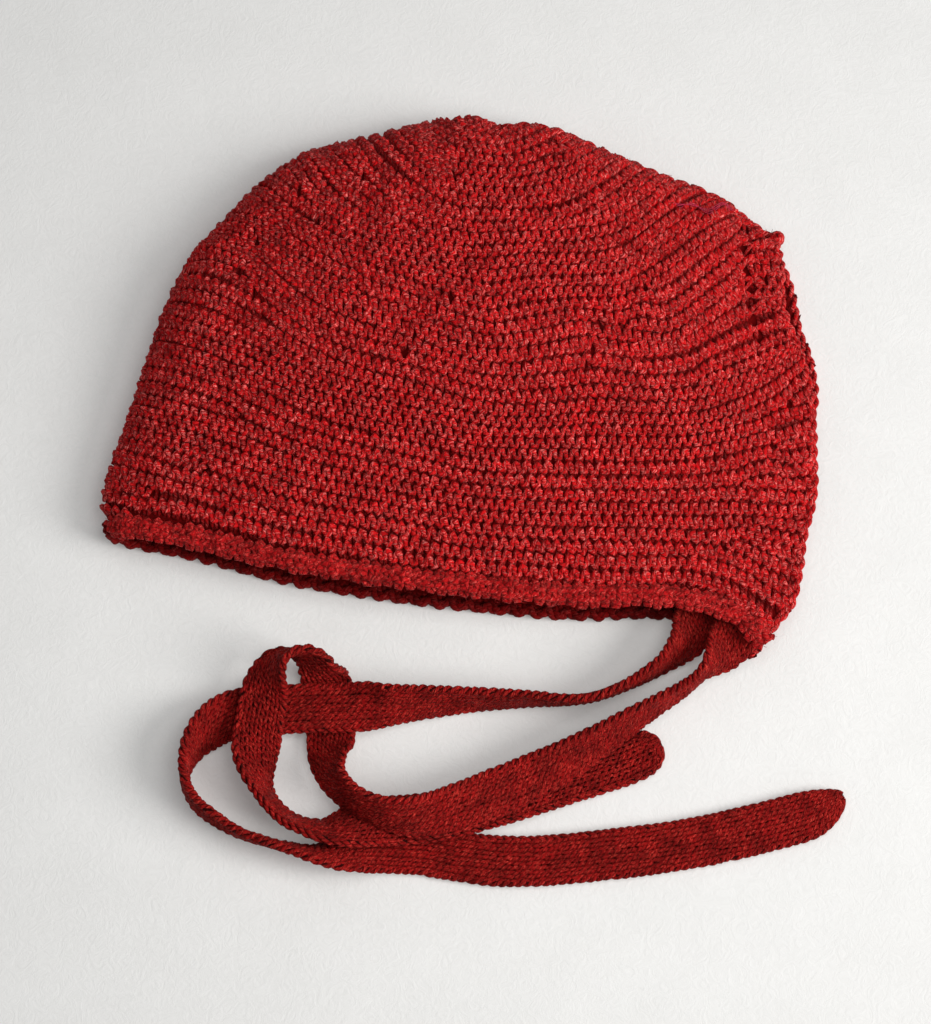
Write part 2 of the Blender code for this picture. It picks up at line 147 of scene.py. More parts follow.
# Ridges of the garter knit as they run across the photograph: number of the ridge, then pixels
RIDGES = (
    (1.0, (110, 490), (153, 502), (197, 512), (240, 524), (283, 537), (327, 545), (371, 552),
     (415, 560), (460, 566), (505, 570), (549, 573), (594, 577), (639, 578), (684, 578), (727, 590),
     (763, 617)),
    (3.8, (124, 441), (210, 466), (295, 495), (383, 512), (471, 530), (561, 536), (650, 537),
     (740, 543), (783, 556)),
    (7.0, (129, 396), (173, 405), (216, 418), (258, 434), (300, 451), (343, 463), (387, 471),
     (430, 482), (474, 491), (564, 496), (654, 497), (744, 494), (789, 492)),
    (9.9, (144, 350), (189, 355), (231, 371), (272, 390), (312, 409), (355, 423), (398, 433),
     (441, 444), (485, 454), (575, 456), (665, 456), (710, 452), (754, 443), (798, 431)),
    (13.7, (164, 304), (208, 309), (249, 327), (289, 349), (328, 370), (370, 384), (414, 394),
     (457, 407), (501, 415), (546, 415), (590, 410), (680, 412), (724, 403), (765, 383), (798, 357)),
    (16.4, (186, 260), (231, 258), (265, 284), (301, 311), (340, 332), (382, 345), (425, 357),
     (467, 373), (512, 379), (556, 375), (600, 371), (645, 378), (689, 375), (732, 360), (772, 345)),
    (19.3, (212, 226), (257, 229), (290, 257), (326, 285), (367, 300), (410, 312), (451, 330),
     (494, 339), (539, 333), (583, 324), (627, 331), (671, 328), (708, 303), (742, 279), (787, 283)),
    (21.8, (241, 192), (281, 213), (320, 236), (360, 256), (401, 272), (443, 288), (483, 306),
     (527, 299), (572, 295), (617, 294), (656, 273), (692, 246), (730, 223)),
    (25.4, (301, 154), (329, 189), (364, 216), (404, 236), (444, 255), (489, 260), (534, 255),
     (578, 256), (621, 250), (659, 225), (690, 205)),
    (29.2, (349, 135), (381, 166), (418, 193), (458, 212), (503, 214), (547, 214), (589, 202),
     (628, 178), (650, 165)),
    (32.3, (410, 124), (439, 158), (480, 174), (525, 175), (566, 159), (600, 142)),
    (35.0, (424, 120), (461, 131), (505, 140), (546, 127)),
)
RIDGE_MIDDLE = 455.0        # pixel column that the stitches are counted from

# Small holes in the knit where the short rows turn, in pixels, with their width in metres
HOLES = (
    (239, 273, 0.0010), (258, 243, 0.0009), (293, 228, 0.0009), (320, 221, 0.0008),
    (405, 354, 0.0012), (415, 332, 0.0009), (434, 311, 0.0009), (451, 300, 0.0008),
    (589, 366, 0.0011), (593, 349, 0.0010), (600, 326, 0.0009), (612, 303, 0.0008),
    (744, 230, 0.0019), (746, 252, 0.0020), (748, 270, 0.0021), (750, 288, 0.0020),
    (751, 305, 0.0021), (755, 323, 0.0020), (758, 336, 0.0016),
)

# Routes of the ties, as in the part's source: x, y, height of the lowest point, roll in degrees
TIE_RIGHT_ROUTE = (
    (0.0680, -0.0554, 0.0066, 0), (0.0657, -0.0592, 0.0066, 0), (0.0630, -0.0637, 0.0060, -6),
    (0.0600, -0.0680, 0.0034, -44), (0.0560, -0.0719, 0.0014, -82), (0.0509, -0.0760, 0.0006, -82),
    (0.0447, -0.0799, 0.0018, -76), (0.0380, -0.0840, 0.0031, -67), (0.0310, -0.0883, 0.0031, -55),
    (0.0234, -0.0926, 0.0031, -42), (0.0158, -0.0962, 0.0036, -30), (0.0084, -0.0995, 0.0048, -22),
    (0.0011, -0.1025, 0.0058, -20), (-0.0062, -0.1049, 0.0060, -30), (-0.0132, -0.1056, 0.0060, -50),
    (-0.0195, -0.1043, 0.0052, -60), (-0.0251, -0.1015, 0.0042, -64), (-0.0291, -0.0972, 0.0026, -60),
    (-0.0308, -0.0921, 0.0013, -38), (-0.0308, -0.0877, 0.0010, -12), (-0.0309, -0.0850, 0.0006, -3),
    (-0.0310, -0.0812, 0.0004, 0), (-0.0313, -0.0769, 0.0003, 0), (-0.0321, -0.0736, 0.0003, 0),
    (-0.0335, -0.0709, 0.0009, -42), (-0.0353, -0.0687, 0.0034, -68), (-0.0382, -0.0676, 0.0050, -90),
    (-0.0414, -0.0686, 0.0056, -114), (-0.0440, -0.0714, 0.0058, -140), (-0.0457, -0.0754, 0.0058, -164),
    (-0.0466, -0.0803, 0.0057, -178), (-0.0474, -0.0849, 0.0054, -182), (-0.0478, -0.0896, 0.0040, -202),
    (-0.0475, -0.0939, 0.0018, -228), (-0.0465, -0.0980, 0.0006, -250), (-0.0443, -0.1018, 0.0004, -257),
    (-0.0403, -0.1055, 0.0004, -256), (-0.0354, -0.1075, 0.0008, -252), (-0.0308, -0.1082, 0.0016, -238),
    (-0.0259, -0.1075, 0.0024, -212), (-0.0202, -0.1063, 0.0030, -192), (-0.0134, -0.1058, 0.0032, -181),
    (-0.0060, -0.1049, 0.0032, -180), (0.0023, -0.1030, 0.0028, -180), (0.0106, -0.1006, 0.0019, -180),
    (0.0192, -0.0978, 0.0008, -180), (0.0281, -0.0949, 0.0003, -180), (0.0368, -0.0921, 0.0003, -180),
    (0.0460, -0.0882, 0.0003, -180),
)
TIE_LEFT_ROUTE = (
    (0.0584, -0.0515, 0.0038, 0), (0.0563, -0.0558, 0.0038, 0), (0.0542, -0.0608, 0.0034, -14),
    (0.0514, -0.0654, 0.0018, -50), (0.0471, -0.0694, 0.0006, -76), (0.0419, -0.0727, 0.0004, -86),
    (0.0363, -0.0755, 0.0003, -92), (0.0302, -0.0776, 0.0003, -96), (0.0237, -0.0783, 0.0003, -93),
    (0.0167, -0.0781, 0.0003, -87), (0.0086, -0.0781, 0.0003, -80), (0.0004, -0.0783, 0.0004, -72),
    (-0.0077, -0.0788, 0.0009, -61), (-0.0167, -0.0795, 0.0022, -44), (-0.0221, -0.0797, 0.0035, -18),
    (-0.0263, -0.0799, 0.0040, -5), (-0.0312, -0.0800, 0.0040, 0), (-0.0361, -0.0800, 0.0037, 0),
    (-0.0411, -0.0802, 0.0032, 0), (-0.0465, -0.0805, 0.0022, 0), (-0.0521, -0.0809, 0.0012, -10),
    (-0.0573, -0.0832, 0.0005, -32), (-0.0612, -0.0871, 0.0003, -60), (-0.0635, -0.0918, 0.0003, -82),
    (-0.0640, -0.0970, 0.0003, -97), (-0.0613, -0.1021, 0.0003, -100), (-0.0563, -0.1059, 0.0003, -98),
    (-0.0505, -0.1091, 0.0003, -92), (-0.0441, -0.1111, 0.0003, -87), (-0.0377, -0.1127, 0.0003, -80),
    (-0.0329, -0.1136, 0.0003, -68), (-0.0281, -0.1135, 0.0003, -46), (-0.0232, -0.1125, 0.0003, -20),
    (-0.0175, -0.1120, 0.0003, -5), (-0.0092, -0.1124, 0.0003, 0), (-0.0000, -0.1140, 0.0003, 0),
    (0.0094, -0.1149, 0.0003, 0), (0.0200, -0.1147, 0.0003, 0), (0.0324, -0.1135, 0.0003, 0),
    (0.0440, -0.1122, 0.0003, 0), (0.0556, -0.1103, 0.0003, 0), (0.0672, -0.1078, 0.0003, 0),
    (0.0789, -0.1048, 0.0003, 0), (0.0885, -0.1023, 0.0003, 0),
)


def pixel_ray(u, v):
    """Direction from the eye through a pixel of the photograph."""
    return FORWARD * FOCAL + np.array((1.0, 0.0, 0.0)) * (u - MIDDLE[0]) + UPWARD * (MIDDLE[1] - v)


# The bonnet's surfaces, as the part's source makes them

def smooth(points, cells):
    """Points of a smooth curve through the given ones, with equal cells between each two."""
    points = np.asarray(points, float)
    last = len(points) - 1
    shares = (np.arange(cells) / cells)[:, None]
    square, cube = shares ** 2, shares ** 3
    runs = []
    for index in range(last):
        start, end = points[index], points[index + 1]
        leave = (end - points[max(index - 1, 0)]) / 2
        arrive = (points[min(index + 2, last)] - start) / 2
        runs.append(start * (2 * cube - 3 * square + 1) + leave * (cube - 2 * square + shares)
                    + end * (3 * square - 2 * cube) + arrive * (cube - square))
    return np.vstack(runs + [points[-1:]])


def run_lengths(points):
    steps = np.linalg.norm(np.diff(points, axis=0), axis=1)
    return np.concatenate(([0.0], np.cumsum(steps)))


def between(places, run, points):
    """Points at places along a run."""
    return np.stack([np.interp(places, run, points[:, axis]) for axis in range(points.shape[1])], 1)


def unit(vectors):
    return vectors / np.maximum(np.linalg.norm(vectors, axis=-1, keepdims=True), 1e-12)


def raised(line, lowest):
    """The line with no point of it lower than the given height."""
    line[:, 2] = np.maximum(line[:, 2], lowest)
    return line


def outline_curve(table, offset):
    points = smooth(np.array(table) * (LENGTH, HEIGHT), 6)
    if not offset:
        return points
    ahead = np.gradient(points, axis=0)
    return points + unit(np.stack((-ahead[:, 1], ahead[:, 0]), 1)) * offset


def close_corners(neck, back, crown, face):
    meeting = (back[-1] + crown[0]) / 2
    back[-1] = meeting
    crown[0] = meeting
    near = (1 - np.linspace(0, 1, len(neck)))[:, None] ** 2
    neck += (back[0] - neck[0]) * near
    far = np.linspace(0, 1, len(face))[:, None] ** 2
    face += (crown[-1] - face[-1]) * far
    return neck, back, crown, face


NECK, BACK, CROWN, FACE = close_corners(
    outline_curve(NAPE_TO_CHIN, 0.0), outline_curve(NAPE_TO_CROWN, -WALL / 2),
    outline_curve(CROWN_TO_FOREHEAD, -WALL / 2), outline_curve(CHIN_TO_FOREHEAD, 0.0))
FOLD = np.vstack((BACK, CROWN[1:]))
REAR = FOLD[:60]            # the part of the fold that rises all the way


def edge(curve, share):
    run = run_lengths(curve)
    return between(np.clip(share, 0, 1) * run[-1], run, curve)


def plan(along, up):
    """Places between the four curves, at shares from back to face and from neck to crown."""
    along, up = np.broadcast_arrays(np.atleast_1d(along), np.atleast_1d(up))
    a, u = along[:, None], up[:, None]
    across = edge(NECK, along) * (1 - u) + edge(CROWN, along) * u
    across = across + edge(BACK, up) * (1 - a) + edge(FACE, up) * a
    low = NECK[0] * (1 - a) + NECK[-1] * a
    high = CROWN[0] * (1 - a) + CROWN[-1] * a
    return across - (low * (1 - u) + high * u)


def plan_width(up):
    """Distance from the back to the face at shares of the way from neck to crown."""
    return np.linalg.norm(edge(FACE, up) - edge(BACK, up), axis=1)


def plan_height(along):
    """Distance from the neck to the crown at shares of the way from back to face."""
    return np.linalg.norm(edge(CROWN, along) - edge(NECK, along), axis=1)


def from_fold(points):
    """Distance from the fold, inwards, and the direction in which it grows."""
    start, step = FOLD[:-1], np.diff(FOLD, axis=0)
    inward = unit(np.stack((step[:, 1], -step[:, 0]), 1))
    distance = np.empty(len(points))
    away = np.empty((len(points), 2))
    batch = 4000
    for first in range(0, len(points), batch):
        some = points[first:first + batch]
        offset = some[:, None] - start
        share = np.clip((offset * step).sum(2) / (step * step).sum(1), 0, 1)
        offset = offset - share[..., None] * step
        length = np.linalg.norm(offset, axis=2)
        best = length.argmin(1)
        rows = np.arange(len(some))
        nearest, side = offset[rows, best], inward[best]
        sign = np.where((nearest * side).sum(1) < 0, -1.0, 1.0)
        close = length[rows, best][:, None] < 2e-5
        distance[first:first + batch] = length[rows, best] * sign
        away[first:first + batch] = np.where(close, side, unit(nearest) * sign[:, None])
    return distance, away


def upper_top(points):
    """Middle of the upper layer's wall, away from the folds."""
    x = (points[:, 0] - CROWN_CENTRE[0] * LENGTH) / CROWN_REACH[0]
    y = (points[:, 1] - CROWN_CENTRE[1] * HEIGHT) / CROWN_REACH[1]
    swell = np.maximum(1 - x * x - y * y, 0) ** 1.5
    height = THICKNESS_AT_EDGES + (THICKNESS_AT_CROWN - THICKNESS_AT_EDGES) * swell - WALL / 2
    for start_along, start_up, end_along, end_up, half_width, deepest in DENTS:
        start = np.array((start_along * LENGTH, start_up * HEIGHT))
        step = np.array((end_along * LENGTH, end_up * HEIGHT)) - start
        share = np.clip(((points - start) @ step) / (step @ step), 0, 1)
        near = np.linalg.norm(points - start - share[:, None] * step, axis=1) / half_width
        height = height - deepest * np.exp(-near * near)
    return height


def on_layer(points, layer):
    """The places lifted to the middle of a layer's wall, and the directions out of the bonnet."""
    distance, inward = from_fold(points)
    reach = FOLD_REACH_ABOVE if layer > 0 else FOLD_REACH_BELOW
    share = np.clip(distance / reach, 0, 1)
    rounded = np.sqrt(1 - (1 - share) ** 2)
    if layer > 0:
        top = upper_top(points)
        tiny = 0.0002
        slope = np.stack([upper_top(points + way) - top for way in ((tiny, 0), (0, tiny))], 1) / tiny
        steep = ((top - FOLD_HEIGHT) * (1 - share) / reach)[:, None] * inward
        height = FOLD_HEIGHT + (top - FOLD_HEIGHT) * rounded
        out = np.column_stack((-(steep + (rounded ** 2)[:, None] * slope), rounded))
        place = points
    else:
        steep = ((FOLD_HEIGHT - WALL / 2) * (1 - share) / reach)[:, None] * inward
        height = FOLD_HEIGHT - (FOLD_HEIGHT - WALL / 2) * rounded
        out = np.column_stack((-steep, -rounded))
        place = lapped(points)
    return np.column_stack((place, height)), unit(out)


def lapped(points):
    """The lower layer shows a little past the upper one at the face."""
    y = points[:, 1]
    back = np.interp(y, REAR[:, 1], REAR[:, 0])
    face = np.interp(y, FACE[:, 1], FACE[:, 0])
    up = np.interp(y, FACE[:, 1], run_lengths(FACE) / run_lengths(FACE)[-1])
    along = np.clip((points[:, 0] - back) / (face - back), 0, 1.05)
    reach = np.where(up < LAP_MIDDLE, LAP_BELOW, 1 - LAP_MIDDLE)
    lap = np.maximum(1 - ((up - LAP_MIDDLE) / reach) ** 2, 0)
    return points + np.column_stack((FACE_LAP * lap * along ** 6, np.zeros(len(y))))


def on_upper_at_pixel(u, v):
    """Place on the upper layer that a pixel of the photograph shows."""
    ray = pixel_ray(u, v)
    height = 0.012
    for _ in range(6):
        point = EYE + ray * ((height - EYE[2]) / ray[2])
        height = on_layer(point[None, :2], 1)[0][0, 2]
    return point[:2]


# Yarn

def tube_mesh(name, lines, radius, resolution, reliefs=None, radii=None):
    """One mesh of yarn tubes along lines of points. Each point of it knows where it is on its strand:
    the side of the yarn as a cosine and a sine, and the place along it in millimetres. The relief
    says how far in front of the knit it lies, from 0 to 1; the yarn material paints shade where it is
    low and lets its painted highlights show only where it is high."""
    curve = bpy.data.curves.new(name, "CURVE")
    curve.dimensions = "3D"
    curve.twist_mode = "MINIMUM"
    curve.bevel_depth = radius
    curve.bevel_resolution = resolution
    for index, line in enumerate(lines):
        spline = curve.splines.new("POLY")
        spline.points.add(len(line) - 1)
        spline.points.foreach_set("co", np.column_stack((line, np.ones(len(line)))).ravel())
        if radii is not None:
            spline.points.foreach_set("radius", radii[index])
    maker = bpy.data.objects.new(name, curve)
    mesh = bpy.data.meshes.new_from_object(maker)
    bpy.data.objects.remove(maker)
    bpy.data.curves.remove(curve)
    mesh.name = name
    sides = 2 * (resolution + 2)
    runs = [run_lengths(line) * 1000 for line in lines]
    rings = np.repeat(np.concatenate(runs), sides)
    turns = np.tile(np.arange(sides) * 2 * np.pi / sides, sum(len(line) for line in lines))
    strand = mesh.attributes.new("strand", "FLOAT_VECTOR", "POINT")
    strand.data.foreach_set("vector", np.column_stack((np.cos(turns), np.sin(turns), rings)).ravel())
    relief = mesh.attributes.new("relief", "FLOAT", "POINT")
    front = np.ones(len(rings) // sides) if reliefs is None else np.concatenate(reliefs)
    relief.data.foreach_set("value", np.repeat(front, sides))
    mesh.shade_smooth()
    for layer in list(mesh.uv_layers):
        mesh.uv_layers.remove(layer)
    return mesh


def add_piece(name, mesh, material, slot, *nodes):
    piece = bpy.data.objects.new(name, mesh)
    bpy.context.scene.collection.objects.link(piece)
    mesh.materials.clear()
    mesh.materials.append(material)
    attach(piece, "root")
    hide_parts(*nodes)
    return piece


def add_yarn(name, lines, radius, resolution, material, slot, node, reliefs=None, radii=None):
    """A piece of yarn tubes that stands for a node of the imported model."""
    mesh = tube_mesh(name, lines, radius, resolution, reliefs, radii)
    return add_piece(name, mesh, material, slot, node)


class Shader:
    """A node tree that is written line by line."""

    def __init__(self, name):
        self.material = bpy.data.materials.new(name)
        self.material.use_nodes = True
        self.tree = self.material.node_tree
        self.surface = self.tree.nodes["Principled BSDF"]

    def feed(self, socket, value):
        """Links another node's output to a socket, or sets the socket to a constant."""
        if isinstance(value, bpy.types.NodeSocket):
            self.tree.links.new(value, socket)
        else:
            socket.default_value = value

    def add(self, kind, inputs=(), **settings):
        node = self.tree.nodes.new("ShaderNode" + kind)
        for key, value in settings.items():
            setattr(node, key, value)
        for key, value in dict(inputs).items():
            self.feed(node.inputs[key], value)
        return node

    def math(self, operation, *values):
        return self.add("Math", enumerate(values), operation=operation).outputs[0]

    def blend(self, factor, first, second, way="MIX"):
        inputs = {0: factor, 6: first, 7: second}
        return self.add("Mix", inputs, data_type="RGBA", blend_type=way).outputs[2]

    def object_place(self):
        return self.add("TexCoord").outputs["Object"]

    def noise(self, place, scale, detail, roughness=0.5, distortion=0.0):
        inputs = {"Vector": place, "Scale": scale, "Detail": detail, "Roughness": roughness,
                  "Distortion": distortion}
        return self.add("TexNoise", inputs).outputs["Fac"]

    def ramp(self, value, low, high, to_low=0.0, to_high=1.0):
        inputs = {"Value": value, "From Min": low, "From Max": high, "To Min": to_low, "To Max": to_high}
        return self.add("MapRange", inputs).outputs[0]

    def bump(self, height, strength, distance):
        inputs = {"Height": height, "Strength": strength, "Distance": distance}
        self.into("Normal", self.add("Bump", inputs).outputs[0])

    def into(self, key, value):
        self.feed(self.surface.inputs[key], value)


def yarn_material(name, painted_shade, main, painted_highlight, ply_length=2.6, fuzz=0.08):
    """Plied wool: two plies wound round each other, fibre streaks along them that are painted highlights,
    mottled dye, and painted shade: darker in the grooves between the plies and where the yarn dives into
    the knit."""
    shader = Shader(name)
    strand = shader.add("Attribute", attribute_name="strand").outputs["Vector"]
    relief = shader.add("Attribute", attribute_name="relief").outputs["Fac"]
    parts = shader.add("SeparateXYZ", {0: strand})
    turn = shader.math("MULTIPLY", parts.outputs[2], 2 * math.pi / ply_length)
    flat = shader.add("CombineXYZ", {0: parts.outputs[0], 1: parts.outputs[1], 2: 0.0})
    wound = shader.add("VectorRotate", {"Vector": flat.outputs[0], "Angle": turn}, rotation_type="Z_AXIS")
    around = shader.add("SeparateXYZ", {0: wound.outputs[0]})
    ply = shader.math("ABSOLUTE", around.outputs[0])
    slow = shader.math("MULTIPLY", parts.outputs[2], 0.45)
    fibre_place = shader.add("CombineXYZ", {0: around.outputs[0], 1: around.outputs[1], 2: slow})
    place = shader.object_place()
    fibre = shader.noise(fibre_place.outputs[0], 2.0, 3.0, 0.7)
    hair = shader.noise(place, 2400.0, 2.0, 0.7)
    mottle = shader.noise(place, 240.0, 3.0, 0.65)
    # Painted highlights: bright fibre streaks, laid on only where the relief puts the yarn in front.
    highlight_streak = shader.ramp(fibre, 0.54, 0.66)
    groove = shader.ramp(ply, 0.05, 0.60, 0.25)
    forward = shader.ramp(relief, 0.02, 0.48)
    tone = shader.ramp(mottle, 0.34, 0.66, 0.66, 1.25)
    # Painted shade: the colour goes to the shade colour in the grooves between the plies and where the
    # relief puts the yarn behind the knit.
    colour = shader.blend(shader.math("MULTIPLY", groove, forward), painted_shade, main)
    colour = shader.blend(shader.math("MULTIPLY", highlight_streak, forward), colour, painted_highlight)
    grey = shader.add("CombineColor", {0: tone, 1: tone, 2: tone})
    shader.into("Base Color", shader.blend(1.0, colour, grey.outputs[0], "MULTIPLY"))
    height = shader.math("ADD", shader.math("MULTIPLY", groove, 0.6),
                         shader.math("ADD", shader.math("MULTIPLY", fibre, 0.8),
                                     shader.math("MULTIPLY", hair, 0.6)))
    shader.bump(height, 1.0, 0.00035)
    shader.into("Roughness", 0.62)
    shader.into("Specular IOR Level", 0.06)
    shader.into("Sheen Weight", fuzz)
    shader.into("Sheen Roughness", 0.40)
    shader.into("Sheen Tint", (1.0, 0.26, 0.22, 1.0))
    return shader.material


# Ties

def tie_line(table):
    """Middle line of a tie, its run, and its directions to the left edge and out of its upper face."""
    points = []
    for x, y, lift, roll in table:
        turn = math.radians(roll)
        height = lift + TIE_THICKNESS / 2 + (TIE_WIDTH - TIE_THICKNESS) / 2 * abs(math.sin(turn))
        points.append((x, y, height, turn))
    fine = smooth(points, 12)
    run = run_lengths(fine[:, :3])
    places = np.linspace(0, run[-1], round(run[-1] / 0.0007) + 1)
    fine = between(places, run, fine)
    middle, roll = fine[:, :3], fine[:, 3:]
    ahead = unit(np.gradient(middle, axis=0))
    left = unit(np.cross(np.array((0.0, 0.0, 1.0)), ahead))
    up = np.cross(ahead, left)
    across = left * np.cos(roll) + up * np.sin(roll)
    out = up * np.cos(roll) - left * np.sin(roll)
    return middle, run_lengths(middle), across, out


def tip_shape(left_over, length, lean, power):
    """How wide a tie still is near its end, and how far its middle moves to the left edge."""
    share = np.clip(left_over / length, 0, 1)
    narrow = 0.12 + 0.88 * (1 - (1 - share) ** 2) ** power
    return narrow, lean * (1 - narrow)


def tie_strand(lines, s, cross, depth, tip):
    """Lays a strand on a tie, at places along it, across it from -1 to 1 and out of its face."""
    middle, run, across, out = lines
    half = TIE_WIDTH / 2 - 0.00075
    narrow, shift = tip_shape(run[-1] - s, *tip)
    s = np.clip(s, 0, run[-1])
    line = (between(s, run, middle) + between(s, run, across) * ((cross * narrow + shift) * half)[:, None]
            + between(s, run, out) * depth[:, None])
    return raised(line, 0.00050)


def tie_face(lines, side, tip, samples):
    """Yarn of one face of a tie: legs of the loops in front, heads and feet inside."""
    rows = int(lines[1][-1] / TIE_ROW - 0.6)
    t = np.arange(TIE_COLUMNS * samples + 1) / samples
    turn = t * 2 * np.pi
    laid, reliefs = [], []
    for row in range(rows):
        jitter = np.repeat(rng.normal(0, 1, (2, TIE_COLUMNS + 1)), samples, axis=1)[:, :len(t)]
        cross = ((t + 0.27 * np.sin(2 * turn)) / TIE_COLUMNS * 2 - 1) * 0.97 + 0.020 * jitter[0]
        s = (row + 0.9 - 0.98 * np.cos(turn)) * TIE_ROW + 0.00012 * jitter[1]
        front = -np.cos(2 * turn)
        depth = side * (0.00042 + 0.00048 * front - 0.00034 * np.abs(cross) ** 3)
        depth = depth + 0.00006 * rng.normal(0, 1, len(t))
        if row % 2:
            cross, s, depth, front = cross[::-1], s[::-1], depth[::-1], front[::-1]
        laid.append(tie_strand(lines, s, cross, depth, tip))
        # Low on the backs of the loops, where the yarn material paints shade.
        reliefs.append(0.5 + 0.5 * front)
    return np.vstack(laid), np.concatenate(reliefs)


def tie_edges(lines, tip):
    """The chain of longer loops along the two edges of a tie, two strands each."""
    end = lines[1][-1]
    s = np.concatenate((np.arange(0.0, end - TIE_DRAWN_IN, 0.0005),
                        end - TIE_DRAWN_IN * np.linspace(1, 0, 22) ** 2))
    knots = np.arange(0, end + 0.004, 0.0035)
    strands = []
    for side in (-1.0, 1.0):
        slow = np.interp(s, knots, rng.normal(0, 1, len(knots)))
        for phase in (0.0, math.pi):
            wave = 2 * np.pi * s / TIE_CHAIN + phase + side + 0.5 * slow
            cross = side * (0.985 + 0.085 * np.cos(wave)) + 0.010 * slow
            strands.append(tie_strand(lines, s, cross, 0.00062 * np.sin(wave), tip))
    return strands


def cloth_mesh(name, cloth, thickness):
    """Mesh of a grid of faces that is made into a thin cloth."""
    bmesh.ops.solidify(cloth, geom=cloth.faces[:], thickness=thickness)
    bmesh.ops.recalc_face_normals(cloth, faces=cloth.faces)
    mesh = bpy.data.meshes.new(name)
    cloth.to_mesh(mesh)
    cloth.free()
    return mesh


def tie_shade_core(lines, tip):
    """Thin dark sheet in the middle of a tie: painted shade that fills the gaps between its stitches."""
    run = lines[1]
    length = run[-1] - 0.0022
    cloth = bmesh.new()
    bmesh.ops.create_grid(cloth, x_segments=len(run) // 3, y_segments=4, size=0.5)
    for vertex in cloth.verts:
        s = np.array([(vertex.co.x + 0.5) * length])
        vertex.co = tie_strand(lines, s, np.array([vertex.co.y * 1.84]), np.zeros(1), tip)[0]
    return cloth_mesh("shade_core", cloth, 0.0004)


# Colour of the dark sheets inside the knit and the ties: painted shade, which stands for what shows dark
# between the stitches.
def shade_fill_material():
    shader = Shader("knit_shade_fill")
    noise = shader.noise(shader.object_place(), 900.0, 3.0)
    shader.into("Base Color", shader.blend(noise, (0.045, 0.0004, 0.0005, 1), (0.140, 0.0014, 0.0016, 1)))
    shader.bump(noise, 1.0, 0.0003)
    shader.into("Roughness", 0.95)
    shader.into("Specular IOR Level", 0.05)
    return shader.material


shade_fill = shade_fill_material()


# Camera

camera = bpy.data.objects.new("camera", bpy.data.cameras.new("camera"))
bpy.context.scene.collection.objects.link(camera)
camera.location = EYE
camera.rotation_euler = (math.pi / 2 - ELEVATION, 0.0, 0.0)
camera.data.sensor_width = SENSOR
camera.data.lens = SENSOR * FOCAL / PHOTO_HEIGHT
camera.data.clip_start = 0.01
camera.data.clip_end = 20.0
bpy.context.scene.camera = camera

tie_knit = yarn_material("tie_yarn", painted_shade=(0.030, 0.0004, 0.0004, 1), main=(0.250, 0.0040, 0.0042, 1),
                         painted_highlight=(0.62, 0.050, 0.034, 1), fuzz=0.06)
# Each tie with its tip: length of the tip, how far its middle leans to the left edge, and its roundness
for name, table, tip in (("tie_right", TIE_RIGHT_ROUTE, (0.0060, 0.0, 0.50)),
                         ("tie_left", TIE_LEFT_ROUTE, (0.0120, 0.50, 0.62))):
    lines = tie_line(table)
    middle, run = lines[:2]
    face, relief = tie_face(lines, 1.0, tip, 7)
    edges = tie_edges(lines, tip)
    reliefs = [relief] + [np.ones(len(line)) for line in edges]
    piece = add_yarn(name + "_knit", [face] + edges, TIE_YARN, 1, tie_knit, "tie_knit", name, reliefs)
    face, relief = tie_face(lines, -1.0, tip, 6)
    back = add_yarn(name + "_back", [face], TIE_YARN, 0, tie_knit, "tie_knit", name, [relief])
    shade_core = add_piece(name + "_core", tie_shade_core(lines, tip), shade_fill, "tie_knit", name)


# Garter knit

def inside(points, border):
    """Which points lie within a closed border."""
    x, y = points[:, 0:1], points[:, 1:2]
    x1, y1 = border[:, 0], border[:, 1]
    x2, y2 = np.roll(x1, -1), np.roll(y1, -1)
    crosses = (y1 > y) != (y2 > y)
    with np.errstate(divide="ignore", invalid="ignore"):
        at = (x2 - x1) * (y - y1) / (y2 - y1) + x1
    return (crosses & (x < at)).sum(1) % 2 == 1


def knit_border():
    """Border of the garter knit, under the band and the edging."""
    share = np.linspace(0, 1, 80)
    neck = plan(share, BAND_HEIGHT * 0.96 / plan_height(share))
    face = plan(1 - EDGING_WIDTH * 0.6 / plan_width(share), share)
    return np.vstack((neck[:-1], face[2:], CROWN[::-1][1:], BACK[::-1][1:]))


MIDDLE_X = on_upper_at_pixel(RIDGE_MIDDLE, 350)[0]


def ridge_field():
    """Places on the plan, by number of the ridge and by place along it."""
    beyond = 0.06
    places = np.arange(-0.120, 0.1205, 0.001)
    numbers, lines = [], []
    for number, *pixels in RIDGES:
        line = smooth([on_upper_at_pixel(u, v) for u, v in pixels], 6)
        run = run_lengths(line)
        middle = np.interp(MIDDLE_X, line[:, 0], run)
        before = line[0] + unit(line[0] - line[5]) * beyond
        after = line[-1] + unit(line[-1] - line[-6]) * beyond
        line = np.vstack((before, line, after))
        run = np.concatenate(([-beyond], run, [run[-1] + beyond])) - middle
        numbers.append(number)
        lines.append(between(places, run, line))
    lines = np.array(lines)
    first = lines[0] + (lines[0] - lines[1]) * 3.0 / (numbers[1] - numbers[0])
    last = lines[-1] + (lines[-1] - lines[-2]) * 4.0 / (numbers[-1] - numbers[-2])
    numbers = np.array([numbers[0] - 3.0] + numbers + [numbers[-1] + 4.0])
    lines = np.concatenate((first[None], lines, last[None]))
    wanted = np.arange(-2.0, 38.6, 0.25)
    index = np.clip(np.searchsorted(numbers, wanted) - 1, 0, len(numbers) - 2)
    share = ((wanted - numbers[index]) / (numbers[index + 1] - numbers[index]))[:, None, None]
    field = lines[index] * (1 - share) + lines[index + 1] * share
    for _ in range(12):
        field[1:-1] = (field[:-2] + 2 * field[1:-1] + field[2:]) / 4
    return wanted, places, field


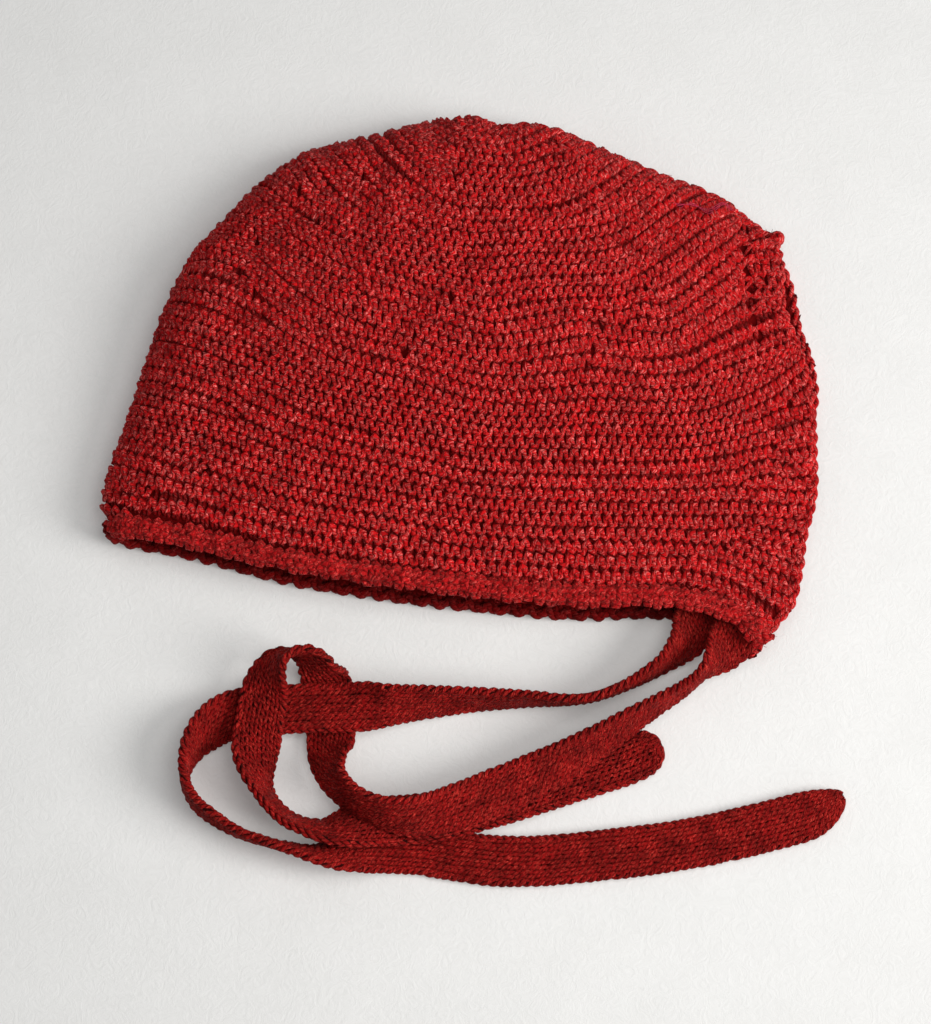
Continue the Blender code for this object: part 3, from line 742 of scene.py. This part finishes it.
def on_field(numbers, places, field, wanted):
    """The line that has a wanted ridge number at each place."""
    index = np.clip((wanted - numbers[0]) / (numbers[1] - numbers[0]), 0, len(numbers) - 1.001)
    low = index.astype(int)
    share = (index - low)[:, None]
    column = np.arange(len(places))
    return field[low, column] * (1 - share) + field[low + 1, column] * share


def eased(values):
    """Values along a row with their steps made gentle."""
    for _ in range(3):
        padded = np.concatenate((values[:1], values, values[-1:]))
        values = (padded[:-2] + 2 * padded[1:-1] + padded[2:]) / 4
    return values


def ridges_with_short_rows(numbers, places, field, border):
    """Number of each ridge along its way, with short rows put in where the knit widens: a list of the
    number at each place, the width of the ridge, and the places from which and to which it runs."""
    up_step = np.gradient(field, numbers, axis=0)
    ahead = unit(np.gradient(field, axis=1))
    spacing = np.abs(up_step[..., 0] * ahead[..., 1] - up_step[..., 1] * ahead[..., 0])
    ridges = []
    for first in range(-2, 38, BLOCK):
        inner = (numbers >= first) & (numbers < first + BLOCK)
        count = spacing[inner].mean(0) / RIDGE_GOAL * BLOCK
        line = on_field(numbers, places, field, np.full(len(places), first + BLOCK / 2))
        within = inside(line, border)
        starts = []
        for side in (-1, 1):
            way = (places * side >= 0)
            order = np.flatnonzero(way)[::side]
            order = order[within[order]]
            if len(order) < 8:
                continue
            most = np.maximum.accumulate(eased(count[order]))
            for extra in range(len(SHORT_ROW_SLOTS)):
                reached = np.flatnonzero(most > BLOCK + extra + 0.55)
                if len(reached) and reached[0] < len(order) - 4:
                    starts.append((side, extra, places[order[reached[0]]] + rng.normal(0, 0.0006)))
        slots = [(float(index), -1.0, 1.0) for index in range(BLOCK)]
        for side, extra, start in starts:
            slot = SHORT_ROW_SLOTS[extra]
            slots.append((slot, start, 1.0) if side > 0 else (slot, -1.0, start))
        slots.sort()
        active = np.array([(places >= low) & (places <= high) for _, low, high in slots])
        total = active.sum(0)
        rank = np.cumsum(active, axis=0) - 1
        for index, (_, low, high) in enumerate(slots):
            number = first + BLOCK * (rank[index] + 0.5 * (~active[index])) / total
            ridges.append((eased(number), eased(BLOCK / total), low, high))
    return ridges


class Row:
    """One row of knitting: its middle line from the front of the lower layer, round the fold, to the
    front of the upper layer, with the place along it counted from the middle of the photograph."""

    def __init__(self, head_in_front, places, line, border, start, stop):
        self.head_in_front = head_in_front
        tiny, dense_reach = 0.0003, 0.006
        fine = np.arange(places[0], places[-1], tiny)
        within = inside(between(fine, places, line), border) & (fine > start) & (fine < stop)
        edges = np.flatnonzero(np.diff(np.concatenate(([0], within.astype(int), [0]))))
        runs = [(edges[i], edges[i + 1] - 1) for i in range(0, len(edges), 2)]
        runs = [pair for pair in runs if pair[1] - pair[0] > 12]
        self.empty = not runs
        if self.empty:
            return
        zero = np.searchsorted(fine, 0)
        # The run nearest to the middle of the photograph, and the longest of those that are as near
        low, high = min(runs, key=lambda pair: max(pair[0] - zero, zero - pair[1], 0)
                        - (pair[1] - pair[0]) / 1e4)
        low = self.meet_border(fine[low], max(fine[low] - tiny, start), places, line, border)
        high = self.meet_border(fine[high], min(fine[high] + tiny, stop), places, line, border)
        dense = dense_reach * np.linspace(0, 1, 30) ** 2
        steps = np.unique(np.concatenate((
            low + dense, np.arange(low + dense_reach, high - dense_reach, 0.0004), high - dense[::-1])))
        steps = steps[(steps >= low) & (steps <= high)]
        flat = between(steps, places, line)
        self.wraps = from_fold(flat[:1])[0][0] < 0.0006
        upper, upper_out = on_layer(flat, 1)
        lower, lower_out = on_layer(flat, -1)
        run = run_lengths(upper)
        if low < 0 < high:
            middle = np.interp(0.0, steps, run)
        else:
            middle = -low if low > 0 else run[-1] - high
        over = run - middle
        under = over[0] - 0.0002 - run_lengths(lower)
        self.fold = over[0]
        self.front = over[-1]
        self.back = under[-1]
        self.run = np.concatenate((under[::-1], over))
        self.points = np.vstack((lower[::-1], upper))
        self.out = np.vstack((lower_out[::-1], upper_out))

    @staticmethod
    def meet_border(place, beyond, places, line, border):
        for _ in range(10):
            half = (place + beyond) / 2
            if inside(between(np.array([half]), places, line), border)[0]:
                place = half
            else:
                beyond = half
        return place

    def at(self, places):
        return between(places, self.run, self.points)

    def out_at(self, places):
        return unit(between(places, self.run, self.out))

    def holds(self, places):
        return (places > self.back) & (places < self.front)


def row_step(rows, index, places):
    """The way from a row to the next one, at places along it."""
    row = rows[index]
    here = row.at(places)
    total = np.zeros((len(places), 3))
    weight = np.zeros(len(places))
    for sign in (1, -1):
        open_places = np.ones(len(places), bool)
        for other in range(1, 9):
            if not 0 <= index + sign * other < len(rows) or rows[index + sign * other].empty:
                continue
            near = rows[index + sign * other]
            step = (near.at(places) - here) * sign
            good = open_places & near.holds(places) & (np.linalg.norm(step, axis=1) < RIDGE)
            total += np.where(good[:, None], step, 0)
            weight += good
            open_places &= ~near.holds(places)
    ahead = unit(row.at(places + 0.0004) - row.at(places - 0.0004))
    usual = unit(np.cross(row.out_at(places), ahead)) * RIDGE / 2
    step = np.where(weight[:, None] > 0, total / np.maximum(weight, 1)[:, None], usual)
    length = np.linalg.norm(step, axis=1, keepdims=True)
    return step / np.maximum(length, 1e-9) * np.clip(length, RIDGE * 0.40, RIDGE * 0.66)


def unevenness(kinds, t):
    """Random unevenness of the stitches, of several kinds, eased from one stitch to the next."""
    stitches = np.floor(t).astype(int)
    stitches -= stitches[0]
    values = rng.normal(0, 1, (kinds, stitches[-1] + 2))
    return values[:, stitches] * (1 - t % 1) + values[:, stitches + 1] * (t % 1)


def garter_yarn(rows, index, low, high, samples):
    """Middle line of the yarn of one row between two places of it, how far in front it lies, and how
    thick it is: it is pulled thin at the legs of the loops."""
    row = rows[index]
    if high - low < 2 * STITCH:
        return None, None, None
    t = np.arange(int((high - low) / STITCH * samples) + 1) / samples + low / STITCH
    turn = (t + RIDGE_SHIFT * (index // 2)) * 2 * np.pi
    wobble = unevenness(4, t)
    loop = HEADS_IN_FRONT if row.head_in_front else FEET_IN_FRONT
    front = -np.cos(turn) if row.head_in_front else np.cos(turn)
    lean = np.where(np.cos(turn) > 0, loop.lean_low, loop.lean_high)
    gather = lean * np.sin(2 * turn) + loop.spread * np.sin(turn)
    places = np.clip(STITCH * (t + gather + 0.050 * wobble[0]), low, high)
    rise = -np.where(front > 0, *LOOP_RISE) * (1 + 0.07 * wobble[1]) * np.cos(turn) + 0.07 * wobble[2]
    depth = DIVE * np.where(front > 0, loop.forward, LOOP_BACKWARD) * front + 0.00014 * wobble[3]
    # Relief, which the yarn material turns into painted shade where the loop lies behind.
    relief = loop.relief + loop.relief_change * front
    thick = (LEG_THICKNESS + loop.swell * np.clip(front, 0, 1) ** loop.swell_power
             + BACK_SWELL * np.clip(-front, 0, 1))
    step = row_step(rows, index, places)
    thick = thick * np.clip(2 * np.linalg.norm(step, axis=1) / RIDGE, 0.92, 1.35) ** 0.7
    line = row.at(places) + step * rise[:, None] + row.out_at(places) * depth[:, None]
    return line, relief, thick


border = knit_border()
numbers, places, field = ridge_field()
rows = []
for number, breadth, start, stop in ridges_with_short_rows(numbers, places, field, border):
    for head_in_front, side in ((True, -0.25), (False, 0.25)):
        line = on_field(numbers, places, field, number + side * breadth)
        rows.append(Row(head_in_front, places, line, border, start, stop))
holes = np.array([on_upper_at_pixel(u, v) for u, v, _ in HOLES])


def open_holes(line):
    """Pushes the yarn of the upper layer away from the small holes."""
    reach, lowest = 0.0015, 0.008
    for (x, y), (_, _, width) in zip(holes, HOLES):
        away = line[:, :2] - (x, y)
        distance = np.maximum(np.linalg.norm(away, axis=1), 1e-6)
        push = width * 0.85 * np.exp(-(distance / reach) ** 2) * (line[:, 2] > lowest)
        line[:, :2] += away / distance[:, None] * push[:, None]
    return line


garter = yarn_material("garter_yarn", painted_shade=(0.120, 0.0008, 0.0010, 1), main=(0.530, 0.0052, 0.0074, 1),
                       painted_highlight=(0.94, 0.210, 0.190, 1), fuzz=0.04)
upper_lines, lower_lines = [], []
for index, row in enumerate(rows):
    if row.empty:
        continue
    turn_under = row.fold - 0.006 if row.wraps else row.fold
    overlap = STITCH if row.wraps else -0.0002
    line, relief, thick = garter_yarn(rows, index, turn_under, row.front, 7)
    if line is not None:
        upper_lines.append((open_holes(line), relief, thick))
    line, relief, thick = garter_yarn(rows, index, row.back, turn_under + overlap, 5)
    if line is not None:
        lower_lines.append((raised(line, TABLE_CLEARANCE), relief, thick))


def split(lines, count):
    """The lines in groups of about the same number of points."""
    sizes = np.cumsum([len(line[0]) for line in lines])
    group = np.minimum((sizes - 1) * count // sizes[-1], count - 1)
    return [[line for line, g in zip(lines, group) if g == wanted] for wanted in range(count)]


for layer_name, yarns, count, resolution in (("knit_upper", upper_lines, 3, 1),
                                             ("knit_lower", lower_lines, 2, 0)):
    for number, group in enumerate(split(yarns, count), 1):
        lines, reliefs, radii = zip(*group)
        add_yarn("%s_%d" % (layer_name, number), lines, YARN, resolution, garter, "garter_knit",
                 "bonnet_body", reliefs, radii)


# Trims

def strip(points, out, spacing):
    """Points along a trim at even spaces: their run, their places, the directions out of the bonnet and
    those across the trim."""
    run = run_lengths(points)
    places = np.linspace(0, run[-1], round(run[-1] / spacing) + 1)
    points, out = between(places, run, points), unit(between(places, run, out))
    across = unit(np.cross(out, unit(np.gradient(points, axis=0))))
    return run_lengths(points), points, out, across


def neck_band_line():
    """Middle line of the neck band on the upper layer, from the chin to the nape, and on the lower layer,
    from the nape to the chin, each with the directions out of the bonnet."""
    share = np.concatenate((np.linspace(1, 0.06, 120), 0.06 * np.linspace(1, 0, 40)[1:] ** 2))
    flat = plan(share, 0.0026 / plan_height(share))
    upper, upper_out = on_layer(flat, 1)
    lower, lower_out = on_layer(flat, -1)
    lower[:, 2] += 0.0004
    return (upper, upper_out), (lower[::-1], lower_out[::-1])


def scallops(run, reach):
    """How far the hem stands out in scallops along its run."""
    return reach * np.abs(np.sin(np.pi * run / SCALLOP)) ** 0.8


def band_yarn(points, out, angles, swing, wide, thick, pitch, scallop):
    """Rolled edge of the knit, seen from its purl side: rows of bumps that run round a soft roll, at
    angles round it and swinging by an angle."""
    run, middle, out, across = strip(points, out, 0.0004)
    knots = np.arange(0, run[-1] + 0.006, 0.0042)
    in_and_out = np.where(np.arange(len(knots)) % 2, 1.0, -1.0)
    lumps = np.interp(run, knots, in_and_out * rng.uniform(0.3, 1.2, len(knots)))
    lines = []
    samples = 7
    for angle_of_row in np.radians(angles):
        t = np.arange(int(run[-1] / pitch) * samples + 1) / samples
        turn = t * 2 * np.pi
        wobble = unevenness(4, t)
        s = np.clip(pitch * (t + 0.14 * np.sin(2 * turn) + 0.10 * wobble[0]), 0, run[-1])
        angle = angle_of_row + math.radians(swing) * (np.cos(turn) + 0.20 * wobble[1])
        swell = 1 + 0.20 * np.interp(s, run, lumps)
        depth = 0.00034 * np.cos(2 * turn) + 0.00018 * wobble[2]
        v = -(wide * swell + depth) * np.cos(angle) - scallops(s, scallop)
        w = (thick * swell + depth) * np.sin(angle)
        lines.append(between(s, run, middle) - between(s, run, across) * v[:, None]
                     + between(s, run, out) * w[:, None])
    return lines


def chain_yarn(points, out, spacing, reach, phase=0.0):
    """Two strands of a chain edge, wound round each other."""
    run, middle, out, across = strip(points, out, 0.0005)
    strands = []
    for side in (0.0, math.pi):
        turn = 2 * np.pi * run / (2 * spacing) + side + phase
        bulge = reach * (1 + 0.12 * np.sin(run / 0.0031 + side))
        sideways, outward = np.cos(turn) * bulge, np.sin(turn) * bulge
        strands.append(middle + across * sideways[:, None] + out * outward[:, None])
    return strands


# Neck band on the upper layer, and the scalloped hem under it on the lower one
band_fluff = yarn_material("band_yarn", painted_shade=(0.120, 0.0014, 0.0018, 1), main=(0.440, 0.0055, 0.0075, 1),
                           painted_highlight=(0.88, 0.100, 0.085, 1), fuzz=0.16)
(upper_middle, upper_out), (lower_middle, lower_out) = neck_band_line()
band_lines = band_yarn(upper_middle, upper_out, angles=(42, 92, 142), swing=34, wide=0.0021,
                       thick=0.0014, pitch=0.0025, scallop=0.0)
add_yarn("band_upper", band_lines, BAND_YARN, 1, band_fluff, "band_knit", "neck_band")
hem_lines = band_yarn(lower_middle, lower_out, angles=(72, 118), swing=18, wide=0.0017,
                      thick=0.0009, pitch=0.0024, scallop=0.0008)
run, middle, out, across = strip(lower_middle, lower_out, 0.0005)
rim_reach = 0.0012 + scallops(run, 0.0013)
hem_lines += chain_yarn(middle + across * rim_reach[:, None], out, 0.00235, 0.00045)
hem_lines = [raised(line, 0.00088) for line in hem_lines]
# The low relief paints the hem in the shade colour: a painted shadow of the band.
reliefs = [np.full(len(line), HEM_RELIEF) for line in hem_lines]
add_yarn("band_lower", hem_lines, HEM_YARN, 1, garter, "band_knit", "neck_band", reliefs)

# Chain along the face edge of both layers
share = np.concatenate((np.linspace(0, 0.9, 150), 1 - 0.1 * np.linspace(1, 0, 40)[1:] ** 2))
face_plan = plan(1 - 0.0010 / plan_width(share), share)
edge_up, edge_up_out = on_layer(face_plan, 1)
edge_low, edge_low_out = on_layer(face_plan, -1)
face_chain = chain_yarn(edge_up, edge_up_out, EDGING_TURN, EDGING_REACH)
face_chain += chain_yarn(raised(edge_low, 0.0016), edge_low_out, EDGING_TURN, EDGING_REACH, 1.0)
add_yarn("face_chain", face_chain, EDGING_YARN, 1, garter, "edging_knit", "face_edging")

# Chain along the crown, and the small knob at its end, which is one strand wound into a ball
seam_share = np.linspace(0.43, 1.0, 90)
seam, seam_out = on_layer(plan(seam_share, 1 - 0.0011 / plan_height(seam_share)), 1)
seam_chain = chain_yarn(seam, seam_out, 0.0042, 0.00085)
turns = np.linspace(0, np.pi, 60)
knob = np.column_stack((np.sin(turns) * np.cos(9.5 * turns), np.sin(turns) * np.sin(9.5 * turns),
                        np.cos(turns)))
knob = seam[-1] + (0.0004, 0.0006, 0.0004) + 0.0011 * knob
add_yarn("crown_seam", seam_chain + [knob], SEAM_YARN, 1, garter, "garter_knit", "bonnet_body")


# Fuzz: short fibres that stand off the yarn

def fibres(name, lines, count, reach, material, slot, node):
    """Short fibres from places on the yarn, bent at the middle."""
    points = np.vstack(lines)
    chosen = rng.integers(2, len(points) - 2, count)
    ahead = unit(points[chosen + 1] - points[chosen - 1])
    side = rng.normal(0, 1, (count, 3)) + (0.0, 0.0, 0.7)
    side = unit(side - ahead * (side * ahead).sum(1)[:, None])
    sweep = ahead * rng.normal(0, 1, (count, 1))
    length = reach * rng.uniform(0.5, 1.3, (count, 1))
    start = points[chosen] + side * 0.0004
    middle = start + unit(side + 0.8 * sweep) * length * 0.5
    end = middle + unit(side * 0.5 + 1.2 * sweep + rng.normal(0, 0.5, (count, 3))) * length * 0.6
    all_lines = np.stack((start, middle, end), 1)
    all_lines[:, :, 2] = np.maximum(all_lines[:, :, 2], 0.0002)
    add_yarn(name, list(all_lines), FUZZ_YARN, 0, material, slot, node)


fibres("band_fuzz", band_lines, 1300, 0.0013, band_fluff, "band_knit", "neck_band")
fuzzy = seam_chain + [yarn[0][::7] for yarn in upper_lines]
fibres("knit_fuzz", fuzzy, 1100, 0.0012, garter, "garter_knit", "bonnet_body")

# Three thin pink fibres that lie loose on the knit, at pixels of the photograph
loose = []
lifts = np.array((0.0012, 0.0017, 0.0017, 0.0018, 0.0012))[:, None]
for shift in range(3):
    route = ((673 + 3 * shift, 207 + 2 * shift), (690, 210 - shift), (706, 214 + 2 * shift),
             (719, 208 + shift), (731 - 2 * shift, 214))
    flat = np.array([on_upper_at_pixel(u, v) for u, v in route])
    on_knit, away = on_layer(flat, 1)
    loose.append(smooth(on_knit + away * lifts, 5))
pink = yarn_material("loose_fibre", painted_shade=(0.70, 0.025, 0.090, 1), main=(0.85, 0.040, 0.130, 1),
                     painted_highlight=(0.95, 0.25, 0.32, 1))
add_yarn("loose_fibres", loose, LOOSE_FIBRE, 0, pink, "garter_knit", "bonnet_body")


# Painted shade of the knit: a dark sheet for what shows dark between the loops

def shade_fill_sheet():
    """A thin folded dark cloth in the middle of the knit, from one face edge round the back to the other:
    painted shade that shows between the loops.
    """
    across, up_cells = 44, 36
    sheet = bmesh.new()
    bmesh.ops.create_grid(sheet, x_segments=2 * across, y_segments=up_cells, size=0.5)
    sheet.verts.ensure_lookup_table()
    columns = np.array([round((vertex.co.x + 0.5) * 2 * across) - across for vertex in sheet.verts])
    ups = np.array([round((vertex.co.y + 0.5) * up_cells) for vertex in sheet.verts]) / up_cells
    along = np.abs(columns) / across
    along = np.where(along < 0.12, along ** 2 / 0.24, along - 0.06) / 0.94
    up = 1 - (1 - ups) * (0.35 + 0.65 * np.minimum((1 - ups) / 0.2, 1.0))
    low = 0.0022 / plan_height(along)
    flat = plan(along * (1 - 0.0012 / plan_width(up)), low + (1 - low) * up)
    upper, upper_out = on_layer(flat, 1)
    lower, lower_out = on_layer(flat, -1)
    above = columns >= 0
    points = np.where(above[:, None], upper - upper_out * 0.0003, lower - lower_out * 0.0003)
    for vertex, point in zip(sheet.verts, points):
        vertex.co = point
    bmesh.ops.remove_doubles(sheet, verts=sheet.verts, dist=0.00002)
    mesh = cloth_mesh("knit_shade_fill", sheet, 0.0003)
    mesh.shade_smooth()
    return mesh


knit_shade_fill = add_piece("knit_shade_fill", shade_fill_sheet(), shade_fill, "garter_knit", "bonnet_body")


# Floor and light

def floor_material():
    shader = Shader("pale_fleece")
    place = shader.object_place()
    tuft = shader.noise(place, 300.0, 4.0, 0.62, 2.6)
    soft = shader.noise(place, 60.0, 3.0)
    both = shader.math("ADD", shader.math("MULTIPLY", tuft, 0.6), shader.math("MULTIPLY", soft, 0.4))
    shader.into("Base Color", shader.blend(both, (0.60, 0.60, 0.588, 1), (0.745, 0.745, 0.738, 1)))
    shader.bump(both, 0.25, 0.0010)
    shader.into("Roughness", 0.95)
    shader.into("Specular IOR Level", 0.1)
    shader.into("Emission Color", (1.0, 0.99, 0.965, 1))
    shader.into("Emission Strength", 0.145)
    return shader.material


bpy.ops.mesh.primitive_plane_add(size=6.0, location=(0.0, 0.0, -0.0002))
floor = bpy.context.object
floor.name = "floor"
floor.data.materials.append(floor_material())


def area_light(name, place, aim, size, power, colour):
    data = bpy.data.lights.new(name, "AREA")
    data.shape = "DISK"
    data.size = size
    data.energy = power
    data.color = colour
    light = bpy.data.objects.new(name, data)
    bpy.context.scene.collection.objects.link(light)
    light.location = place
    direction = np.array(aim) - np.array(place)
    light.rotation_euler = Vector(direction).to_track_quat("-Z", "Y").to_euler()


area_light("key", place=(0.85, -0.25, 0.62), aim=(0.0, -0.02, 0.0), size=0.60, power=10.2,
           colour=(1.0, 0.985, 0.965))
area_light("near", place=(0.06, -0.06, 0.28), aim=(0.02, -0.03, 0.0), size=0.16, power=0.27,
           colour=(1.0, 0.99, 0.975))
world = bpy.data.worlds.new("studio")
bpy.context.scene.world = world
world.use_nodes = True
background = world.node_tree.nodes["Background"].inputs
background["Color"].default_value = (0.97, 0.98, 1.0, 1.0)
background["Strength"].default_value = 0.30
bpy.context.scene.view_settings.view_transform = "Standard"
